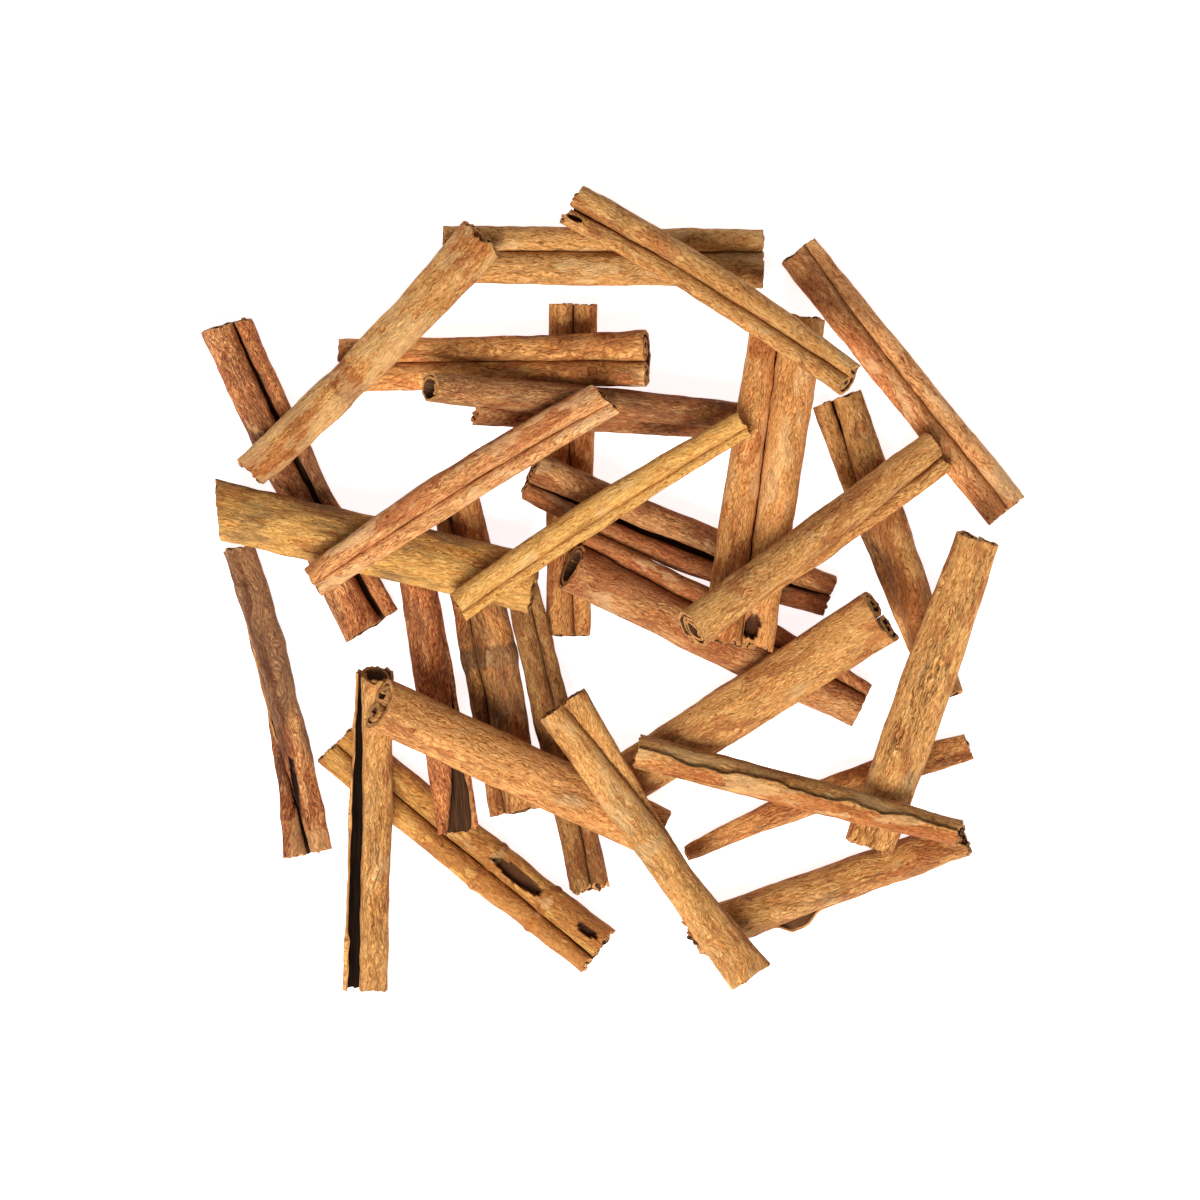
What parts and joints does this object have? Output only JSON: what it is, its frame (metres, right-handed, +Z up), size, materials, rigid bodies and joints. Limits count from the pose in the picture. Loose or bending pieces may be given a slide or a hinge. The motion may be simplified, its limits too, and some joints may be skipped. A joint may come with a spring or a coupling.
{
  "type": "stack of cinnamon sticks",
  "caption": "Loose heap of curled cinnamon bark sticks lying crossed over one another on a flat surface, most with two rolls side by side, some with one.",
  "frame": {"origin": "on the surface that the stack lies on, under the middle of its box", "axes": "+Z up; +Y to the far side of the stack as seen from above with +X to the right"},
  "size_m": [0.1938, 0.1902, 0.0444],
  "materials": {
    "bark_tan": "matte",
    "bark_golden": "matte",
    "bark_orange": "matte",
    "bark_olive": "matte",
    "bark_rosy": "matte",
    "bark_umber": "matte"
  },
  "bodies": {
    "root": {"stick_01": "bark_orange", "stick_02": "bark_olive", "stick_03": "bark_umber", "stick_04": "bark_golden", "stick_05": "bark_olive", "stick_06": "bark_rosy", "stick_07": "bark_orange", "stick_08": "bark_tan", "stick_09": "bark_umber", "stick_10": "bark_tan", "stick_11": "bark_orange", "stick_12": "bark_rosy", "stick_13": "bark_rosy", "stick_14": "bark_rosy", "stick_15": "bark_orange", "stick_16": "bark_umber", "stick_17": "bark_tan", "stick_18": "bark_rosy", "stick_19": "bark_golden", "stick_20": "bark_tan", "stick_21": "bark_tan", "stick_22": "bark_orange", "stick_23": "bark_orange", "stick_24": "bark_tan", "stick_25": "bark_tan", "stick_26": "bark_tan", "stick_27": "bark_tan", "stick_28": "bark_rosy", "stick_29": "bark_golden", "stick_30": "bark_tan"}
  },
  "joints": []
}
